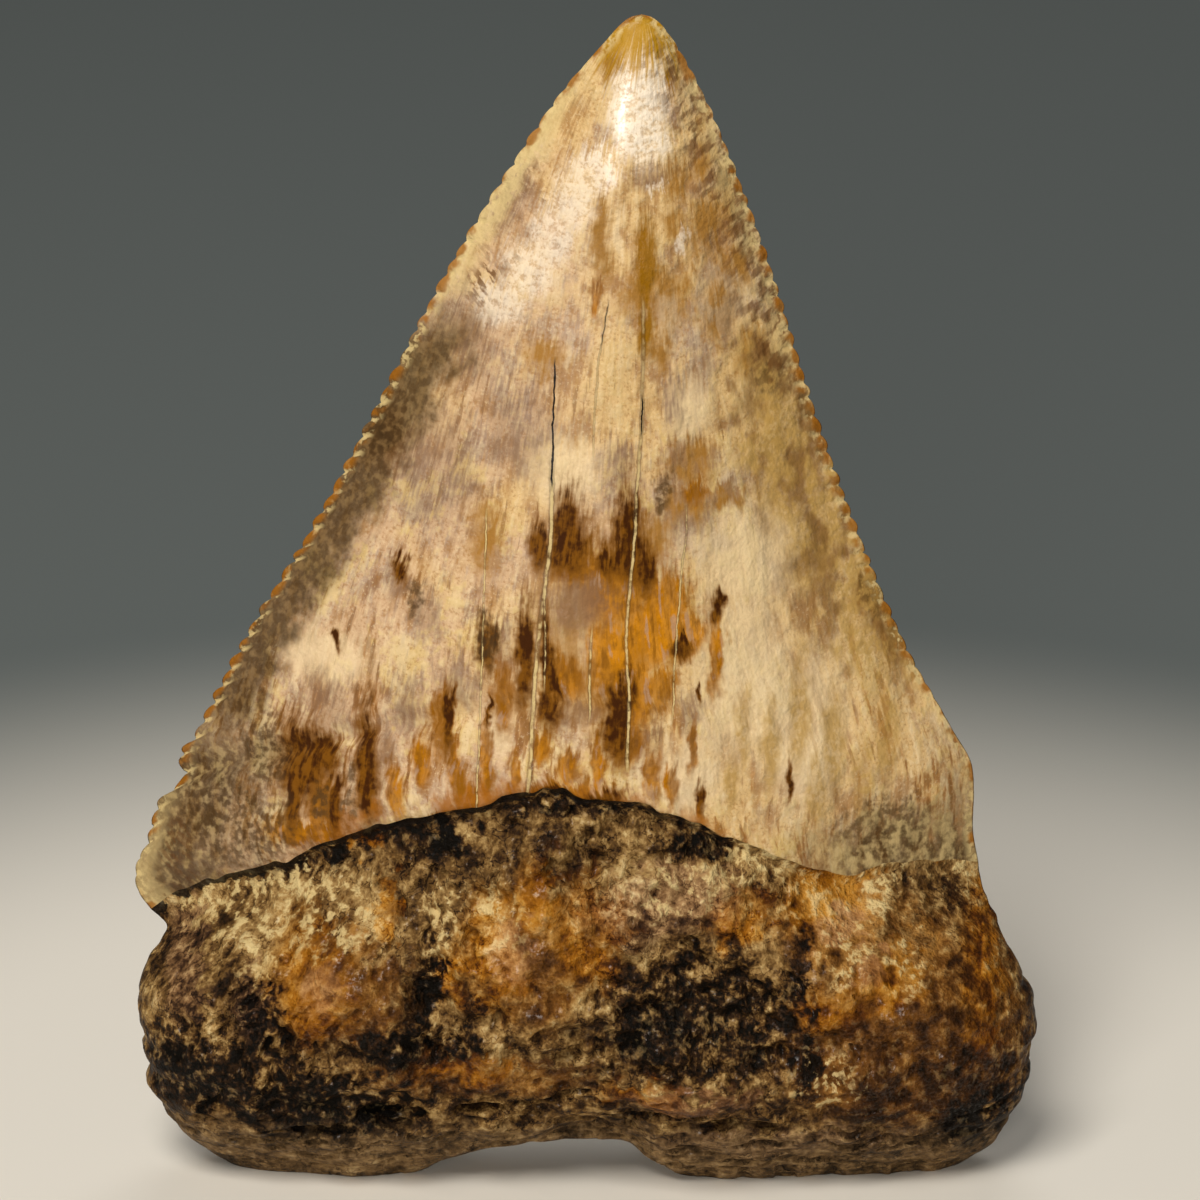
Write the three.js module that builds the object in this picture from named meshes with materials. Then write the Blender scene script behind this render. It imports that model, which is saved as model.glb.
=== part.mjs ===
import * as THREE from "three";
import { mergeVertices } from "three/addons/utils/BufferGeometryUtils.js";

// Fossil tooth of a great white shark, in millimetres.
// X runs across the blade, minus Y is the domed inner face and plus Y the flatter outer face,
// and Z rises from the resting plane to the point.

// Cutting edges, [x, z] from the point down to the foot of the enamel
const leftEdge = [
  [2.6, 57.1], [1.5, 56.5], [0.9, 55.8], [-0.3, 54.4], [-3.3, 50.1], [-6.8, 44.2], [-9.8, 38.3],
  [-12.9, 32.3], [-16.5, 26.2], [-18.9, 21.4], [-19.7, 20.2], [-19.6, 19.0], [-20.6, 18.1], [-21.1, 17.1],
  [-21.4, 15.8], [-22.0, 14.6], [-22.0, 13.2], [-21.4, 12.2],
];
const rightEdge = [
  [2.6, 57.1], [3.6, 56.5], [4.1, 55.8], [4.9, 54.4], [6.8, 50.1], [8.9, 44.2], [10.7, 38.3],
  [12.8, 32.3], [15.3, 26.2], [17.8, 21.6], [18.7, 20.0], [18.9, 18.5], [18.9, 16.4], [19.2, 14.7],
];

// Ends of the root, [x, z] from the foot of the enamel down to the rim of each lobe
const leftSide = [
  [-21.1, 12.0], [-20.6, 11.5], [-20.8, 10.9], [-21.5, 9.9], [-21.9, 8.2], [-21.6, 6.3], [-21.5, 4.4],
  [-20.8, 3.0], [-19.7, 1.6], [-18.4, 0.5],
];
const rightSide = [
  [19.2, 14.4], [19.6, 13.3], [20.2, 12.1], [21.0, 10.7], [21.6, 9.3], [21.9, 7.8], [21.9, 6.4],
  [21.5, 4.4], [21.0, 2.8], [20.2, 1.3], [19.0, 0.3],
];

// Lines across the tooth, [x, z] from left to right
const enamelLine = {
  inner: [
    [-21.4, 12.2], [-19.4, 14.0], [-17.1, 15.1], [-13.6, 16.7], [-9.7, 18.7], [-6.4, 19.8], [-2.4, 21.1],
    [0.8, 20.7], [2.7, 20.1], [5.5, 18.8], [9.4, 16.9], [12.8, 15.6], [15.8, 15.5], [19.2, 14.7],
  ],
  outer: [
    [-21.4, 12.2], [-17.5, 12.9], [-12, 14.6], [-6, 16.6], [-1, 17.6], [4, 16.9], [10, 15.1], [15, 14.4],
    [19.2, 14.7],
  ],
};
const rim = {
  inner: [
    [-18.4, 0.5], [-17, 0.6], [-14.3, 0.7], [-11, 0.7], [-8, 1.4], [-4, 2.1], [1.8, 2.3], [3.2, 1.2],
    [6.6, 0.9], [10, 1.0], [13.8, 0.9], [17, 0.4], [19, 0.3],
  ],
  outer: [
    [-18.4, 0.5], [-16, 1.0], [-12, 0.9], [-8, 1.9], [-4, 3.0], [0, 3.4], [3, 2.8], [6, 1.3], [12, 1.2],
    [17, 0.7], [19, 0.3],
  ],
};
// Middle of the underside: what lies below zero is worn flat where the lobes rest
const soleLine = [
  [-18.4, 0.5], [-17, -0.4], [-15, -1.0], [-9, -1.0], [-7, 0.3], [-4, 1.4], [1.5, 1.5], [3.4, 0.4],
  [5.5, -0.9], [9, -1.1], [13, -1.0], [17, -0.9], [18.2, -0.3], [19, 0.3],
];

// Depth along the middle of the tooth, [share of the way down, y]
const crownY = {
  inner: [[0, 1.9], [0.05, 1.0], [0.15, 0.1], [0.3, -1.0], [0.5, -2.2], [0.75, -3.7], [1, -4.7]],
  outer: [[0, 1.9], [0.05, 2.4], [0.15, 2.8], [0.5, 3.4], [1, 3.9]],
  edge: [[0, 1.9], [1, 2.2]],
};
const rootY = {
  inner: [[0, -4.3], [0.2, -5.4], [0.45, -6.6], [0.7, -6.3], [0.88, -5.0], [1, -3.4]],
  outer: [[0, 3.7], [0.2, 4.1], [0.5, 4.4], [0.8, 4.2], [1, 3.1]],
  edge: [[0, 2.1], [0.12, 1.2], [0.28, -0.3], [1, -0.6]],
};
const archFollow = 2.2; // how late the rows of the blade take up the arch of the enamel line
const rootRounding = 0.35; // share of the root over which the lens section turns into a rounded one

// Serrations: height in millimetres by share of the way down each cutting edge
const serrations = 50;
const serrationHeight = {
  left: [[0, 0], [0.04, 0], [0.1, 0.16], [0.4, 0.24], [0.7, 0.32], [0.84, 0.34], [0.93, 0.16], [1, 0]],
  right: [[0, 0], [0.04, 0.1], [0.4, 0.2], [0.68, 0.18], [0.8, 0.06], [0.85, 0], [1, 0]],
};

// The enamel ends in a lip, with a groove under it
const groove = { drop: 0.16, depth: { inner: 0.5, outer: 0.25 } };

// Lumps (plus) and hollows (minus) of the root: place, half width, half height and height
const relief = {
  inner: [
    { x: -2.1, z: 15.5, across: 2.0, up: 4.5, height: 0.9 }, // middle ridge
    { x: -11.2, z: 11.4, across: 4.6, up: 3.0, height: 1.0 }, // swelling of the left lobe
    { x: -7.2, z: 10.6, across: 1.5, up: 2.4, height: -1.1 }, // pocket beside it
    { x: -15.6, z: 12.6, across: 0.8, up: 4.0, height: -0.5 }, // furrow at the left
    { x: -19.6, z: 6.0, across: 2.2, up: 3.5, height: 0.6 },
    { x: -5.2, z: 16.5, across: 1.2, up: 3.0, height: -0.5 },
    { x: 5.6, z: 11.4, across: 4.6, up: 2.6, height: -1.3 }, // wide middle hollow
    { x: 8.8, z: 9.4, across: 1.8, up: 2.0, height: -0.6 },
    { x: 5.0, z: 6.2, across: 5.0, up: 1.4, height: 0.7 }, // roll under the hollow
    { x: 14.4, z: 12.6, across: 4.0, up: 3.4, height: 0.9 }, // swelling of the right lobe
    { x: 11.6, z: 7.6, across: 0.9, up: 1.8, height: -0.6 },
    { x: 17.4, z: 7.4, across: 2.6, up: 3.4, height: 0.5 },
    { x: -9.0, z: 5.2, across: 7.0, up: 1.1, height: -0.4 },
    { x: 15.0, z: 16.2, across: 2.6, up: 1.2, height: 0.4 },
  ],
  outer: [
    { x: -1.5, z: 10.5, across: 3.2, up: 5.0, height: -0.7 }, // shallow middle hollow
    { x: -12.5, z: 8.0, across: 4.5, up: 4.0, height: 0.5 },
    { x: 13.0, z: 8.5, across: 5.0, up: 4.0, height: 0.5 },
    { x: -7.0, z: 12.5, across: 1.0, up: 3.0, height: -0.3 },
    { x: 6.5, z: 11.5, across: 1.2, up: 3.2, height: -0.3 },
  ],
};
// Gnarled surface of the root: size of its grains and their height
const gnarl = { across: 2.3, up: 1.7, height: 0.42 };

// Facets
const faceColumns = 48; // across each face
const tipRows = 8; // the point keeps every row of its serrations
const coarseRows = 4; // below it the faces keep every fourth row, and the edges all of them
const coarseColumns = 2; // and the blade keeps every second column
const crownRows = 2 * serrations;
const rootRows = 30;
const soleRows = 4;
const weld = 1e-3;

const lerp = THREE.MathUtils.lerp;
const smooth = THREE.MathUtils.smoothstep;

// Smooth curve through [at, value] stops, with the slope at each stop taken from its neighbours
function through(stops, at) {
  const last = stops.length - 2;
  let i = 0;
  while (i < last && at > stops[i + 1][0]) i += 1;
  const slope = (k) => {
    const a = stops[Math.max(k - 1, 0)];
    const b = stops[Math.min(k + 1, last + 1)];
    return (b[1] - a[1]) / (b[0] - a[0]);
  };
  const [[x0, y0], [x1, y1]] = [stops[i], stops[i + 1]];
  const span = x1 - x0;
  const f = THREE.MathUtils.clamp((at - x0) / span, 0, 1);
  const bend0 = slope(i) * span - (y1 - y0);
  const bend1 = (y1 - y0) - slope(i + 1) * span;
  return lerp(y0, y1, f) + f * (1 - f) * (bend0 * (1 - f) + bend1 * f);
}

// Outlines turned into x by drop. The root of the drop keeps the point of the blade round.
const point = leftEdge[0];
const byDrop = (outline) => outline.map(([x, z]) => [Math.sqrt(point[1] - z), x]);
const byHeight = (outline) => outline.map(([x, z]) => [-z, x]);
const edgeByDrop = { left: byDrop(leftEdge), right: byDrop(rightEdge) };
const sideByHeight = { left: byHeight(leftSide), right: byHeight(rightSide) };

// Height of a line across the tooth above the straight one between its ends
function rise(line, s) {
  const [x0, z0] = line[0];
  const [x1, z1] = line.at(-1);
  return through(line, lerp(x0, x1, s)) - lerp(z0, z1, s);
}

// Random but repeatable value of -1 to 1 at each whole-numbered corner, and the field between them
function corner(i, k) {
  const wave = Math.sin(i * 127.1 + k * 311.7) * 43758.5453;
  return 2 * (wave - Math.floor(wave)) - 1;
}
function field(x, z) {
  const [i, k] = [Math.floor(x), Math.floor(z)];
  const [f, g] = [smooth(x - i, 0, 1), smooth(z - k, 0, 1)];
  return lerp(lerp(corner(i, k), corner(i + 1, k), f), lerp(corner(i, k + 1), corner(i + 1, k + 1), f), g);
}

// How far a cutting edge stands out at a row: each serration is one rounded bead
function serration(side, t, row) {
  const along = row / 2;
  const bead = Math.abs(Math.sin(Math.PI * along)) ** 0.7;
  const uneven = 1 + 0.35 * Math.sin(2.4 * Math.floor(along) + (side === "left" ? 0 : 1.7));
  return through(serrationHeight[side], t) * uneven * (bead - 0.5);
}

// Blade: row t from the point (0) to the enamel line (1), s from the left edge (0) to the right (1)
function bladePoint(face, t, s, row) {
  const end = (outline, side) => {
    const z = lerp(point[1], outline.at(-1)[1], t);
    const out = serration(side, t, row) * (side === "left" ? -1 : 1);
    return [through(edgeByDrop[side], Math.sqrt(point[1] - z)) + out, z];
  };
  const [left, right] = [end(leftEdge, "left"), end(rightEdge, "right")];
  const lens = (1 - (2 * s - 1) ** 2) ** 1.1;
  const z = lerp(left[1], right[1], s) + t ** archFollow * rise(enamelLine[face], s);
  return [lerp(left[0], right[0], s), lerp(through(crownY.edge, t), through(crownY[face], t), lens), z];
}

// Root: row r from under the enamel (0) to the rim of the underside (1)
function rootPoint(face, r, s) {
  const end = (outline, side) => {
    const z = lerp(outline[0][1], outline.at(-1)[1], r);
    return [through(sideByHeight[side], -z), z];
  };
  const [left, right] = [end(leftSide, "left"), end(rightSide, "right")];
  const x = lerp(left[0], right[0], s);
  const z = lerp(left[1], right[1], s) + (1 - r) * rise(enamelLine[face], s) + r * rise(rim[face], s);
  const u = Math.abs(2 * s - 1);
  const section = lerp((1 - u ** 2) ** 1.1, (1 - u ** 3) ** 0.45, smooth(r, 0, rootRounding));
  const lip = groove.depth[face] * Math.exp(-((r / 0.05) ** 2));
  const out = (bumps(face, x, z) * smooth(r, 0, 0.12) - lip) * section;
  const y = lerp(through(rootY.edge, r), through(rootY[face], r), section) + (face === "inner" ? -out : out);
  return [x, y, z - groove.drop * (1 - r) * Math.min(1, section)];
}

// Lumps, hollows and gnarls of the root at a place
function bumps(face, x, z) {
  let height = gnarl.height * field(x / gnarl.across + (face === "inner" ? 0 : 50), z / gnarl.up);
  for (const lump of relief[face])
    height += lump.height * Math.exp(-(((x - lump.x) / lump.across) ** 2) - ((z - lump.z) / lump.up) ** 2);
  return height;
}

// Underside: row w from the rim (0) to the middle line (1), where the two faces meet
function solePoint(face, w, s) {
  const [x, y, z] = rootPoint(face, 1, s);
  const middleY = (rootPoint("inner", 1, s)[1] + rootPoint("outer", 1, s)[1]) / 2;
  const under = lerp(soleLine[0][1], soleLine.at(-1)[1], s) + rise(soleLine, s);
  return [x, lerp(y, middleY, w), lerp(z, under, Math.sin((Math.PI / 2) * w) ** 0.8)];
}

// One point of the skin. Columns run along the inner face, then back along the outer face.
function skinPoint(column, row) {
  const onEdge = column % faceColumns === 0;
  if (row < crownRows && row > tipRows && !onEdge) row = tipRows + coarseRows * Math.floor((row - tipRows) / coarseRows);
  if (row < crownRows) column = coarseColumns * Math.floor(column / coarseColumns);
  const face = column <= faceColumns ? "inner" : "outer";
  const q = face === "inner" ? column / faceColumns : 2 - column / faceColumns;
  const s = 0.5 * q + 0.25 * (1 - Math.cos(Math.PI * q));
  let place = bladePoint(face, row / crownRows, s, row);
  if (row > crownRows + rootRows) place = solePoint(face, (row - crownRows - rootRows) / soleRows, s);
  else if (row > crownRows) place = rootPoint(face, (row - crownRows) / rootRows, s);
  return [place[0], place[1], Math.max(0, place[2])];
}

// A tube of facets drawn over the tooth: its top ring closes in the point and its bottom ring
// along the middle of the underside
function makeTooth() {
  const rows = crownRows + rootRows + soleRows;
  const skin = new THREE.CylinderGeometry(1, 1, 1, 2 * faceColumns, rows, true);
  const place = skin.attributes.position;
  for (let i = 0; i < place.count; i += 1) {
    const column = i % (2 * faceColumns + 1);
    place.setXYZ(i, ...skinPoint(column, Math.floor(i / (2 * faceColumns + 1))));
  }
  skin.deleteAttribute("normal");
  skin.deleteAttribute("uv");
  const welded = mergeVertices(skin, weld);
  const corners = welded.index.array;
  const kept = [];
  for (let i = 0; i < corners.length; i += 3) {
    const [a, b, c] = corners.slice(i, i + 3);
    if (a !== b && b !== c && c !== a) kept.push(a, b, c);
  }
  welded.setIndex(kept);
  welded.computeBoundingBox();
  const middle = welded.boundingBox.getCenter(new THREE.Vector3());
  welded.translate(-middle.x, -middle.y, -welded.boundingBox.min.z);
  welded.computeVertexNormals();
  const material = new THREE.MeshStandardMaterial({ color: 0xb48e62, roughness: 0.5, metalness: 0 });
  const tooth = new THREE.Mesh(welded, material);
  tooth.name = "tooth";
  return tooth;
}

const group = new THREE.Group();
group.add(makeTooth());

export default group;
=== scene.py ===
import math

import bmesh
import bpy
import numpy as np
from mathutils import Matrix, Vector


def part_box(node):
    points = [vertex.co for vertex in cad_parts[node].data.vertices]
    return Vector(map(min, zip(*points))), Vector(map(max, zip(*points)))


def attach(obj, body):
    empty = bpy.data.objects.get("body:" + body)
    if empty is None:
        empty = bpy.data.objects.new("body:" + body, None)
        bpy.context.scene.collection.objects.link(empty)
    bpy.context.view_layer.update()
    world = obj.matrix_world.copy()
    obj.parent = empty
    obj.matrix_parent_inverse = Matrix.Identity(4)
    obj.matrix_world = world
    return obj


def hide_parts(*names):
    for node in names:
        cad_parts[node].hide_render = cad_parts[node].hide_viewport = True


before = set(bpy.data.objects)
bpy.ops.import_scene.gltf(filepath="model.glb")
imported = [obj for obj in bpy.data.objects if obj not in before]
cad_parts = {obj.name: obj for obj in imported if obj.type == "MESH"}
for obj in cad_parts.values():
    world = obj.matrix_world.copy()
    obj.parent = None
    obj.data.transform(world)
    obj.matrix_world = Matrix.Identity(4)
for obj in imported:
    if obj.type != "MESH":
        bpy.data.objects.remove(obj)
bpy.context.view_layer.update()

mm = 0.001

# Shape of the tooth, in millimetres: x across, z up. Outlines are (x, z), depths (share of the way down, y).
toothShape = {
    "leftEdge": (
        (2.6, 57.1), (1.5, 56.5), (0.9, 55.8), (-0.3, 54.4), (-3.3, 50.1), (-6.8, 44.2), (-9.8, 38.3),
        (-12.9, 32.3), (-16.5, 26.2), (-18.9, 21.4), (-19.7, 20.2), (-19.6, 19.0), (-20.6, 18.1), (-21.1, 17.1),
        (-21.4, 15.8), (-22.0, 14.6), (-22.0, 13.2), (-21.4, 12.2),
    ),
    "rightEdge": (
        (2.6, 57.1), (3.6, 56.5), (4.1, 55.8), (4.9, 54.4), (6.8, 50.1), (8.9, 44.2), (10.7, 38.3),
        (12.8, 32.3), (15.3, 26.2), (17.8, 21.6), (18.7, 20.0), (18.9, 18.5), (18.9, 16.4), (19.2, 14.7),
    ),
    "leftSide": (
        (-21.1, 12.0), (-20.6, 11.5), (-20.8, 10.9), (-21.5, 9.9), (-21.9, 8.2), (-21.6, 6.3), (-21.5, 4.4),
        (-20.8, 3.0), (-19.7, 1.6), (-18.4, 0.5),
    ),
    "rightSide": (
        (19.2, 14.4), (19.6, 13.3), (20.2, 12.1), (21.0, 10.7), (21.6, 9.3), (21.9, 7.8), (21.9, 6.4),
        (21.5, 4.4), (21.0, 2.8), (20.2, 1.3), (19.0, 0.3),
    ),
    "enamelInner": (
        (-21.4, 12.2), (-19.4, 14.0), (-17.1, 15.1), (-13.6, 16.7), (-9.7, 18.7), (-6.4, 19.8), (-2.4, 21.1),
        (0.8, 20.7), (2.7, 20.1), (5.5, 18.8), (9.4, 16.9), (12.8, 15.6), (15.8, 15.5), (19.2, 14.7),
    ),
    "enamelOuter": (
        (-21.4, 12.2), (-17.5, 12.9), (-12, 14.6), (-6, 16.6), (-1, 17.6), (4, 16.9), (10, 15.1), (15, 14.4),
        (19.2, 14.7),
    ),
    "rimInner": (
        (-18.4, 0.5), (-17, 0.6), (-14.3, 0.7), (-11, 0.7), (-8, 1.4), (-4, 2.1), (1.8, 2.3), (3.2, 1.2),
        (6.6, 0.9), (10, 1.0), (13.8, 0.9), (17, 0.4), (19, 0.3),
    ),
    "rimOuter": (
        (-18.4, 0.5), (-16, 1.0), (-12, 0.9), (-8, 1.9), (-4, 3.0), (0, 3.4), (3, 2.8), (6, 1.3), (12, 1.2),
        (17, 0.7), (19, 0.3),
    ),
    "sole": (
        (-18.4, 0.5), (-17, -0.4), (-15, -1.0), (-9, -1.0), (-7, 0.3), (-4, 1.4), (1.5, 1.5), (3.4, 0.4),
        (5.5, -0.9), (9, -1.1), (13, -1.0), (17, -0.9), (18.2, -0.3), (19, 0.3),
    ),
    "crownInner": ((0, 1.9), (0.05, 1.0), (0.15, 0.1), (0.3, -1.0), (0.5, -2.2), (0.75, -3.7), (1, -4.7)),
    "crownOuter": ((0, 1.9), (0.05, 2.4), (0.15, 2.8), (0.5, 3.4), (1, 3.9)),
    "crownEdge": ((0, 1.9), (1, 2.2)),
    "rootInner": ((0, -4.3), (0.2, -5.4), (0.45, -6.6), (0.7, -6.3), (0.88, -5.0), (1, -3.4)),
    "rootOuter": ((0, 3.7), (0.2, 4.1), (0.5, 4.4), (0.8, 4.2), (1, 3.1)),
    "rootEdge": ((0, 2.1), (0.12, 1.2), (0.28, -0.3), (1, -0.6)),
    "beadsLeft": ((0, 0), (0.04, 0), (0.1, 0.16), (0.4, 0.24), (0.7, 0.32), (0.84, 0.34), (0.93, 0.16), (1, 0)),
    "beadsRight": ((0, 0), (0.04, 0.1), (0.4, 0.2), (0.68, 0.18), (0.8, 0.06), (0.85, 0), (1, 0)),
    "serrations": 50,
    "beadDepth": 0.9,
    "archFollow": 2.2,  # how late the rows of the blade take up the arch of the enamel line
    "rootRounding": 0.35,
    "bladePower": 1.1,  # lens section of the blade
    "rootPowers": (3, 0.45),  # blunt section of the root
    "beadPower": 0.7,
    "beadHalf": 0.17,  # height of a middling bead
    "tuck": 0.16,  # how far the root tucks under the foot of the enamel
}

# Lumps (plus) and hollows (minus) of the root: x, z, half width, half height, height
rootLumps = {
    "inner": (
        (-2.1, 15.5, 2.0, 4.5, 0.9), (-11.2, 11.4, 4.6, 3.0, 1.0), (-7.2, 10.6, 1.5, 2.4, -1.1),
        (-15.6, 12.6, 0.8, 4.0, -0.5), (-19.6, 6.0, 2.2, 3.5, 0.6), (-5.2, 16.5, 1.2, 3.0, -0.5),
        (5.6, 11.4, 4.6, 2.6, -1.3), (8.8, 9.4, 1.8, 2.0, -0.6), (5.0, 6.2, 5.0, 1.4, 0.7),
        (14.4, 12.6, 4.0, 3.4, 0.9), (11.6, 7.6, 0.9, 1.8, -0.6), (17.4, 7.4, 2.6, 3.4, 0.5),
        (-9.0, 5.2, 7.0, 1.1, -0.4), (15.0, 16.2, 2.6, 1.2, 0.4),
    ),
    "outer": (
        (-1.5, 10.5, 3.2, 5.0, -0.7), (-12.5, 8.0, 4.5, 4.0, 0.5), (13.0, 8.5, 5.0, 4.0, 0.5),
        (-7.0, 12.5, 1.0, 3.0, -0.3), (6.5, 11.5, 1.2, 3.2, -0.3),
    ),
    "gnarl": (2.3, 1.7, 0.42),  # size of the gnarls across and up, and their height
}

# Places of the root worn smooth: x, z, half width, half height
polishedPlaces = (
    (15.8, 8.2, 6.0, 5.0), (11.9, 13.8, 2.6, 1.9), (-2.2, 13.4, 2.0, 3.8), (-11.4, 11.2, 2.8, 2.6),
    (-5.0, 6.8, 5.2, 1.1), (-16.8, 17.0, 2.0, 0.9), (18.4, 16.0, 1.6, 0.9), (5.0, 5.6, 3.0, 0.8),
)

# Mesh of the skin before it is wrapped: columns run round the tooth, rows from the point to the sole
skinMesh = {
    "columns": 144,
    "crownRows": 100,
    "rootRows": 34,
    "soleRows": 8,
    "edgeColumns": 3,  # finer beside each cutting edge
    "footShare": 0.97,  # and on the foot of the enamel
    "rimShare": 2.4,  # and down to the rim of the sole
    "mergeReach": 0.0002,  # closes the point and the two seams, in millimetres
}

# Fine relief of the surface, in millimetres
surfaceRelief = {
    "pitDepth": 0.6,
    "crag": 0.34,
    "sideRough": 0.18,
    "strandHeight": 0.24,
    "enamelWave": 0.05,
    "footWave": 0.22,
    "beadRidge": 0.1,
    "beadReach": 0.55,
    "lipRound": 0.12,
    "slots": (  # x, z, half length, half height of the open slots of the under-band
        (-5.0, 4.9, 1.3, 0.22), (-13.1, 3.5, 1.2, 0.2), (-9.7, 4.5, 1.1, 0.25), (-9.3, 3.9, 0.8, 0.2),
        (6.6, 4.1, 0.7, 0.25), (8.8, 3.9, 0.6, 0.25), (2.1, 3.7, 0.25, 0.2),
    ),
    "slotDepth": 0.6,
}


def curve(stops):  # smooth curve through (at, value) stops
    at, value = np.array(stops, float).T
    slope = np.zeros_like(value)
    slope[1:-1] = (value[2:] - value[:-2]) / (at[2:] - at[:-2])
    slope[0] = (value[1] - value[0]) / (at[1] - at[0])
    slope[-1] = (value[-1] - value[-2]) / (at[-1] - at[-2])

    def draw(x):
        i = np.clip(np.searchsorted(at, x) - 1, 0, len(at) - 2)
        span = at[i + 1] - at[i]
        f = np.clip((x - at[i]) / span, 0, 1)
        step = value[i + 1] - value[i]
        first = slope[i] * span - step
        second = step - slope[i + 1] * span
        return value[i] + step * f + f * (1 - f) * (first * (1 - f) + second * f)

    return draw


def mix(low, high, share):
    return low + (high - low) * share


def ease(x, low, high):  # smooth step from 0 at low to 1 at high
    f = np.clip((x - low) / (high - low), 0, 1)
    return f * f * (3 - 2 * f)


def field(x, z):  # random smooth field of -1 to 1, about one bump to a unit
    i, k = np.floor(x), np.floor(z)
    f, g = ease(x - i, 0, 1), ease(z - k, 0, 1)

    def corner(a, b):
        wave = np.sin(a * 127.1 + b * 311.7) * 43758.5453
        return 2 * (wave - np.floor(wave)) - 1

    low = mix(corner(i, k), corner(i + 1, k), f)
    return mix(low, mix(corner(i, k + 1), corner(i + 1, k + 1), f), g)


def strands(x, z, lean, width, length, seed=0.0):  # streaky field; lean is degrees from upright
    c, s = math.cos(math.radians(lean)), math.sin(math.radians(lean))
    across = (x * c - z * s) / width + seed
    along = (z * c + x * s) / length + seed * 1.7
    total = field(across, along) + 0.5 * field(2.1 * across, 1.7 * along)
    return (total + 0.25 * field(4.3 * across, 3.1 * along)) / 1.4


def spots(x, z, places):  # sum of bell-shaped lumps
    total = np.zeros_like(x)
    for px, pz, across, up, height in places:
        total += height * np.exp(-(((x - px) / across) ** 2) - ((z - pz) / up) ** 2)
    return total


def rise(line, s):  # height of a line across the tooth above the straight one between its ends
    (x0, z0), (x1, z1) = line[0], line[-1]
    return curve(line)(mix(x0, x1, s)) - mix(z0, z1, s)


def rootTexture(x, z, outer):  # pits (0 to 1) and strands (-1 to 1) of the spongy root
    wx = x + 0.5 * field(x / 1.6 + 9, z / 1.6) + 40 * outer
    wz = z + 0.5 * field(x / 1.6, z / 1.6 + 5)
    leaning = strands(wx, wz, 28, 0.42, 1.5, 3)
    upright = strands(wx, wz, -4, 0.5, 1.3, 11)
    level = strands(wx, wz, 84, 0.4, 1.6, 23)
    low = ease(-z - 0.12 * np.abs(x), -8.5, -5.5)
    left = ease(-x, 8, 12) * (1 - 0.6 * low)
    strand = mix(mix(upright, leaning, left), level, low)
    rough = 0.75 + 0.35 * field(x / 3.1 + 2, z / 2.7)
    return ease(strand * rough, 0.1, 0.42), strand


def byDrop(outline):  # the root of the drop from the point keeps the point round
    top = outline[0][1]
    return [(math.sqrt(top - z), x) for x, z in outline]


def beads(side, t, fine):  # how far each cutting edge stands out: every serration is a rounded bead
    phase = 0.0 if side == "Left" else 1.7
    along = t * toothShape["serrations"]
    height = curve(toothShape["beads" + side])(t) * (1 + 0.35 * np.sin(2.4 * np.floor(along) + phase))
    if fine:
        along = along + 0.16 * field(along * 0.8 + phase * 9, 0 * along)
    return height * (np.abs(np.sin(np.pi * along)) ** toothShape["beadPower"] - 0.5)


def footWave(x, outer, inset):  # how the foot of the enamel wanders, for the blade and the root alike
    wave = field(x / 1.3 + 30 * outer, 0 * x) + 0.5 * field(x / 0.5 + 30 * outer, 4 + 0 * x)
    return surfaceRelief["footWave"] * wave * ease(inset, 0, 2)


def bladePoints(s, t, outer, fine):
    shape = toothShape
    top = shape["leftEdge"][0][1]
    leftZ = mix(top, shape["leftEdge"][-1][1], t)
    rightZ = mix(top, shape["rightEdge"][-1][1], t)
    leftBead, rightBead = beads("Left", t, fine), beads("Right", t, fine)
    leftX = curve(byDrop(shape["leftEdge"]))(np.sqrt(top - leftZ))
    rightX = curve(byDrop(shape["rightEdge"]))(np.sqrt(top - rightZ))
    width = rightX - leftX
    inset = np.minimum(s, 1 - s) * width
    x = mix(leftX, rightX, s)
    fan = mix(x, (s - 0.5) * 40, 0.5)
    leftShare, rightShare = 1 - s, s
    if fine:
        leftShare = np.exp(-s * width / shape["beadDepth"])
        rightShare = np.exp((s - 1) * width / shape["beadDepth"])
    x = x - leftBead * leftShare + rightBead * rightShare
    arch = mix(rise(shape["enamelInner"], s), rise(shape["enamelOuter"], s), outer)
    relief = surfaceRelief
    if fine:
        arch = arch + footWave(x, outer, inset)
    z = mix(leftZ, rightZ, s) + t ** shape["archFollow"] * arch
    lens = (1 - (2 * s - 1) ** 2) ** shape["bladePower"]
    face = mix(curve(shape["crownInner"])(t), curve(shape["crownOuter"])(t), outer)
    y = mix(curve(shape["crownEdge"])(t), face, lens)
    bead = np.where(s < 0.5, leftBead, rightBead) / shape["beadHalf"]
    if fine:
        out = relief["enamelWave"] * field(x / 1.8 + 20 * outer, z / 7) * ease(inset, 0, 3)
        out += relief["beadRidge"] * bead * np.exp(-inset / relief["beadReach"]) * ease(inset, 0, 0.3)
        out -= relief["lipRound"] * np.exp((t - 1) / 0.004) * lens
        y = y + out * (2 * outer - 1)
    return x, y, z, inset, bead, fan


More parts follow.
